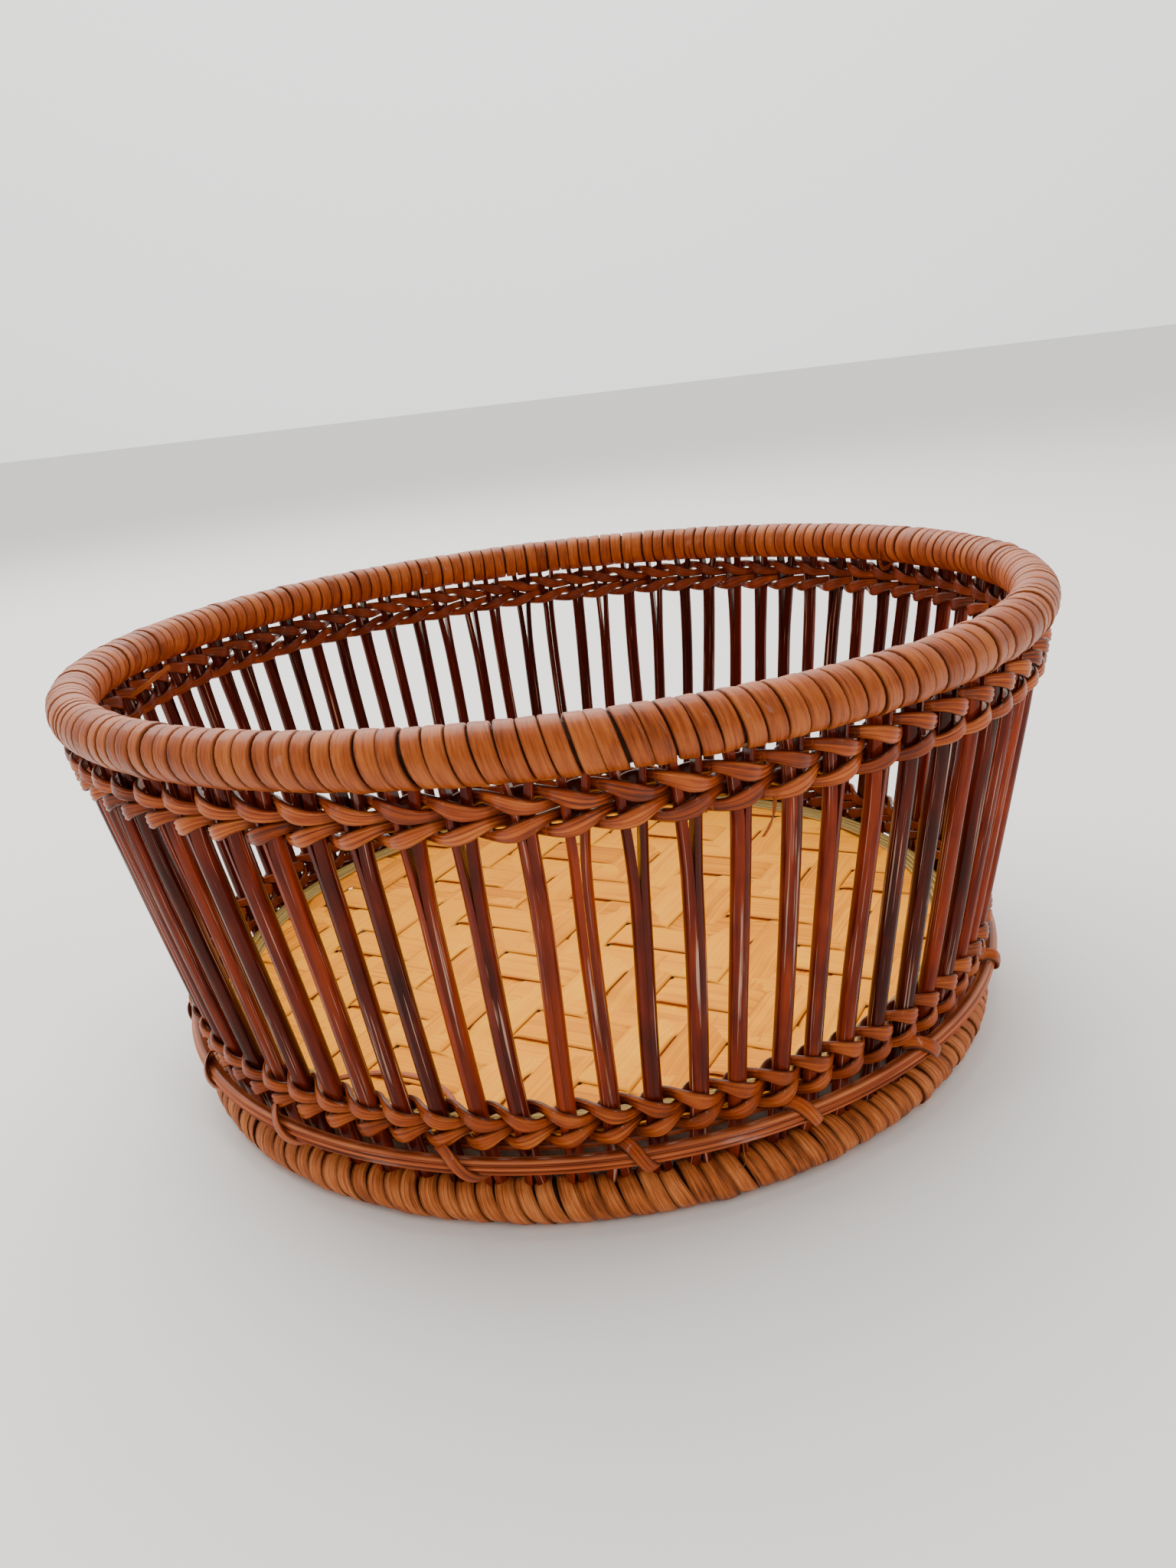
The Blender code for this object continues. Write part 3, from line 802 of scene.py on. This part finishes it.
def mat_rule(name, sizes, ribs, upside, turn, material):
    """The rule of one set of parallel strips cut to a round mat."""
    tree, size = start_tree(name, sizes)
    last = MAT_STEPS + 2
    sheet = sheets(tree, MAT_STRIPS, last + 1, ribs + 1)
    strip = recall(tree, "strand")
    step = recall(tree, "step")
    body = between(step.math("MINIMUM", last - step), 0, 1)
    share = between(step - 1, 0, MAT_STEPS) / MAT_STEPS
    offset = (strip - (MAT_STRIPS - 1) / 2) * size["Pitch"]
    across, up = section_point(recall(tree, "rib"), ribs, 0.4)
    width = size["Width"] * (chance(strip, 1) * MAT_STRIP_VARIES + 1) * 0.5 * body
    chord = offset + across * width
    room = size["Mat radius"] * size["Mat radius"] - chord * chord
    run = (share * 2 - 1) * power(room.math("MAXIMUM", 0.000001), 0.5)
    crossing = run / size["Pitch"] + (MAT_STRIPS - 1) / 2
    wave = sin((crossing + strip) * (math.pi / 2) + math.pi / 4)
    wave = between(wave * BEND_SHARPNESS, -1, 1) * size["Wave"] * upside
    side = chord + chance(strip, 2) * size["Wander"]
    side = side + wander(run + strip * 7, 9, 3) * size["Sway"]
    height = size["Height"] + wave + up * size["Thickness"] * 0.5 * body
    height = height + across * wander(crossing + strip * 31, 0.5, 4) * size["Tilt"]
    x = run * math.cos(turn) - side * math.sin(turn)
    y = run * math.sin(turn) + side * math.cos(turn)
    notes = {"across": across, "along": run + strip, "turn": strip + upside * 50 + 100}
    finish_tree(tree, sheet, (x, y, height), notes, material)
    return tree


mat_sizes = {"Mat radius": MAT_RADIUS - 0.0008, "Height": (MAT_LOW + MAT_HIGH) / 2 + 0.0002,
             "Pitch": MAT_PITCH, "Width": MAT_PITCH - 0.0006, "Thickness": 0.0006,
             "Wave": 0.00058, "Wander": 0.0001, "Sway": 0.0001, "Tilt": 0.00008}
for label, upside, turn in (("across", 1, MAT_TURN), ("along", -1, MAT_TURN + math.pi / 2)):
    strips = grow("mat_strips_" + label, mat_rule, mat_sizes,
                  ribs=12, upside=upside, turn=turn, material=MAT_BAMBOO)
    settle(strips, "mat_bamboo", "base_mat")

# %% [markdown]
# Hand work leaves a few loose ends: a weaver that loops up off the mat, a curled end of
# the rim's binding, a turn that hangs low, a tail under the upper band, a fibre at the
# foot. Each is a flat ribbon along one curve: a circle is squashed to the ribbon's
# section, then swept along the curve, and it tapers at both ends.


# %% The loose ends
RIBBON_STEPS, RIBBON_RIBS = 28, 14
THINNEST = 0.4    # the ends' share of the full width


def ribbon_rule(name, sizes, material):
    """The rule of one flat ribbon, closed at both ends, along a curve with four points."""
    tree, size = start_tree(name, sizes)
    path = tree.nodes.new("GeometryNodeCurvePrimitiveBezierSegment")
    path.inputs["Resolution"].default_value = RIBBON_STEPS
    for slot, label in zip(("Start", "Start Handle", "End Handle", "End"),
                           ("Start", "Leaving", "Arriving", "End")):
        feed(tree, size[label], path.inputs[slot])
    upright = tree.nodes.new("GeometryNodeSetCurveNormal")
    upright.mode = "Z_UP"
    tree.links.new(path.outputs[0], upright.inputs["Curve"])
    tilted = tree.nodes.new("GeometryNodeSetCurveTilt")
    tree.links.new(upright.outputs[0], tilted.inputs["Curve"])
    feed(tree, size["Tilt"], tilted.inputs["Tilt"])
    share = tree.nodes.new("GeometryNodeSplineParameter")
    line = keep(tree, tilted.outputs[0], "along", Field(tree, share.outputs["Length"]))
    swell = power(sin(Field(tree, share.outputs["Factor"]) * math.pi).math("MAXIMUM", 0), 0.3)
    line = keep(tree, line, "taper", swell * (1 - THINNEST) + THINNEST)
    ring = tree.nodes.new("GeometryNodeCurvePrimitiveCircle")
    ring.inputs["Resolution"].default_value = RIBBON_RIBS
    ring.inputs["Radius"].default_value = 1
    here = tree.nodes.new("ShaderNodeSeparateXYZ")
    tree.links.new(tree.nodes.new("GeometryNodeInputPosition").outputs[0], here.inputs[0])
    section = keep(tree, ring.outputs[0], "across", Field(tree, here.outputs["X"]))
    flat = tree.nodes.new("GeometryNodeTransform")
    tree.links.new(section, flat.inputs["Geometry"])
    squash = vector_of(tree, size["Width"] * 0.5, size["Thickness"] * 0.5, 1)
    tree.links.new(squash, flat.inputs["Scale"])
    sweep = tree.nodes.new("GeometryNodeCurveToMesh")
    sweep.inputs["Fill Caps"].default_value = True
    tree.links.new(line, sweep.inputs["Curve"])
    tree.links.new(flat.outputs[0], sweep.inputs["Profile Curve"])
    feed(tree, recall(tree, "taper"), sweep.inputs["Scale"])
    finish_tree(tree, sweep.outputs[0], None, {"turn": 7}, material)
    return tree


def add_loose_end(name, finish, slot, points, width, thickness, tilt):
    """One ribbon along a curve that leaves its first point and arrives at its last."""
    start, leaving, arriving, end = points
    ribbon = grow(name, ribbon_rule, {
        "Start": start, "Leaving": leaving, "Arriving": arriving, "End": end,
        "Width": width, "Thickness": thickness, "Tilt": tilt}, material=finish)
    settle(ribbon, slot)


add_loose_end("mat_loop", LOWER_CANE, "weaver_cane",
              ((-0.0860, -0.1000, 0.0290), (-0.0740, -0.0990, 0.0315),
               (-0.0500, -0.1030, 0.0315), (-0.0450, -0.1200, 0.0285)), 0.0052, 0.0024, 0.3)
add_loose_end("rim_curl", RIM_CANE, "rim_cane",
              ((-0.1560, 0.0110, 0.1315), (-0.1520, 0.0120, 0.1325),
               (-0.1475, 0.0150, 0.1365), (-0.1425, 0.0200, 0.1385)), 0.0046, 0.0012, 1.45)
add_loose_end("band_tail", LOWER_CANE, "weaver_cane",
              ((0.0470, -0.1550, 0.1235), (0.0462, -0.1580, 0.1200),
               (0.0452, -0.1570, 0.1170), (0.0440, -0.1530, 0.1130)), 0.0024, 0.0010, 0.0)
add_loose_end("low_turn", RIM_CANE, "rim_cane",
              ((0.1373, 0.0676, 0.1425), (0.1357, 0.0668, 0.1365),
               (0.1373, 0.0676, 0.1312), (0.1436, 0.0706, 0.1372)), 0.0044, 0.0012, 1.57)
add_loose_end("foot_fibre", FOOT_CANE, "foot_cane",
              ((0.0350, -0.1400, 0.0190), (0.0330, -0.1445, 0.0175),
               (0.0365, -0.1450, 0.0150), (0.0325, -0.1440, 0.0130)), 0.0009, 0.0006, 0.3)

# %% [markdown]
# The two cores inside the bindings are right as they are: they only show as darkness
# between the turns, so they keep their plain solids and get a deep brown cane finish.

# %% The cores
CORE_CANE = cane(
    "core_cane",
    [(0.0, (0.02, 0.007, 0.004)), (0.5, (0.05, 0.017, 0.009)), (1.0, (0.09, 0.032, 0.014))],
    fibre=3.0, stretch=20, tone=0.0, edge=0.0, crease_shade_colour=(0.02, 0.006, 0.004),
    rough=0.7, bump=0.2)
for name in ("rim_core", "foot_core"):
    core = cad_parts[name]
    core.data.materials.clear()
    core.data.materials.append(CORE_CANE)
    print(name, "keeps its solid")

# %% [markdown]
# A pale floor, a soft room and one large window make cane look like cane: the broad
# light models the round forms, and the window draws the long thin shines on the rods.

# %% The floor
scene = bpy.context.scene
floor_mesh = bpy.data.meshes.new("floor")
bm = bmesh.new()
bmesh.ops.create_grid(bm, x_segments=1, y_segments=1, size=30)
bm.to_mesh(floor_mesh)
bm.free()
floor_piece = bpy.data.objects.new("floor", floor_mesh)
scene.collection.objects.link(floor_piece)
floor_paint = bpy.data.materials.new("floor_paint")
floor_paint.use_nodes = True
floor_shader = floor_paint.node_tree.nodes["Principled BSDF"]
floor_shader.inputs["Base Color"].default_value = (0.86, 0.85, 0.83, 1)
floor_shader.inputs["Roughness"].default_value = 0.6
floor_mesh.materials.append(floor_paint)
print("floor laid")

# %% The room and the lights
# The room is bright behind and above the basket and dim in front of it, where dark
# glossy rods would mirror it.
ROOM_BACK, ROOM_FRONT = 1.9, 0.33
BLEND = 0.35    # how softly the dim side begins
world = bpy.data.worlds.new("room")
world.use_nodes = True
room_tree = world.node_tree
room_shader = room_tree.nodes["Background"]
room_shader.inputs["Color"].default_value = (1.0, 0.99, 0.97, 1)
toward = room_tree.nodes.new("ShaderNodeTexCoord")
split = room_tree.nodes.new("ShaderNodeSeparateXYZ")
room_tree.links.new(toward.outputs["Generated"], split.inputs[0])
backward, upward = Field(room_tree, split.outputs["Y"]), Field(room_tree, split.outputs["Z"])
facing_light = (backward * 0.75 + upward * 0.55).math("SMOOTH_MAX", 0, BLEND)
glow = facing_light.math("MINIMUM", 1) * ROOM_BACK + ROOM_FRONT
feed(room_tree, glow, room_shader.inputs["Strength"])
scene.world = world


def add_window(name, place, aim, width, height, power_watts, colour):
    """A rectangular light at a place, turned to face a point."""
    lamp = bpy.data.lights.new(name, "AREA")
    lamp.shape = "RECTANGLE"
    lamp.size = width
    lamp.size_y = height
    lamp.energy = power_watts
    lamp.color = colour
    holder = bpy.data.objects.new(name, lamp)
    scene.collection.objects.link(holder)
    holder.location = place
    holder.rotation_euler = (Vector(aim) - Vector(place)).to_track_quat("-Z", "Y").to_euler()
    print("light:", name, power_watts, "W")


CENTRE = (0, 0, RIM_Z / 2)
add_window("window", (0.9, -1.3, 1.0), CENTRE, 0.14, 1.3, 9, (1.0, 0.97, 0.92))
add_window("sky", (-0.4, 1.0, 1.7), CENTRE, 2.0, 2.0, 52, (1.0, 0.98, 0.95))
add_window("bounce", (-1.4, -0.8, 0.6), CENTRE, 0.16, 1.0, 5, (1.0, 0.97, 0.93))

# %% [markdown]
# The camera stands close and a little above the rim, as someone would lean in to look,
# so the near side is much larger than the far side. Its turn is written as a look at
# the rim's middle, then a small pan, tilt and roll.

# %% The camera
DISTANCE = 2.6358 * RIM_RADIUS
ELEVATION = 0.1811
PAN, TILT, ROLL = -0.0133, -0.1438, 0.1203
LENS = 36.09
target = Vector((0, 0, RIM_Z))
spot = target + Vector((0, -math.cos(ELEVATION), math.sin(ELEVATION))) * DISTANCE
forward = (target - spot).normalized()
right = Vector((1, 0, 0))
upright = right.cross(forward)
pan = Matrix.Rotation(PAN, 3, upright)
forward, right = pan @ forward, pan @ right
tilt = Matrix.Rotation(TILT, 3, right)
forward, upright = tilt @ forward, tilt @ upright
roll = Matrix.Rotation(ROLL, 3, forward)
right, upright = roll @ right, roll @ upright
turned = Matrix((right, upright, -forward)).transposed().to_4x4()
camera_data = bpy.data.cameras.new("camera")
camera_data.sensor_fit = "HORIZONTAL"
camera_data.sensor_width = 36
camera_data.lens = LENS
camera_data.clip_start = 0.01
camera = bpy.data.objects.new("camera", camera_data)
scene.collection.objects.link(camera)
camera.matrix_world = Matrix.Translation(spot) @ turned
scene.camera = camera
print("camera at", [round(v, 3) for v in spot])
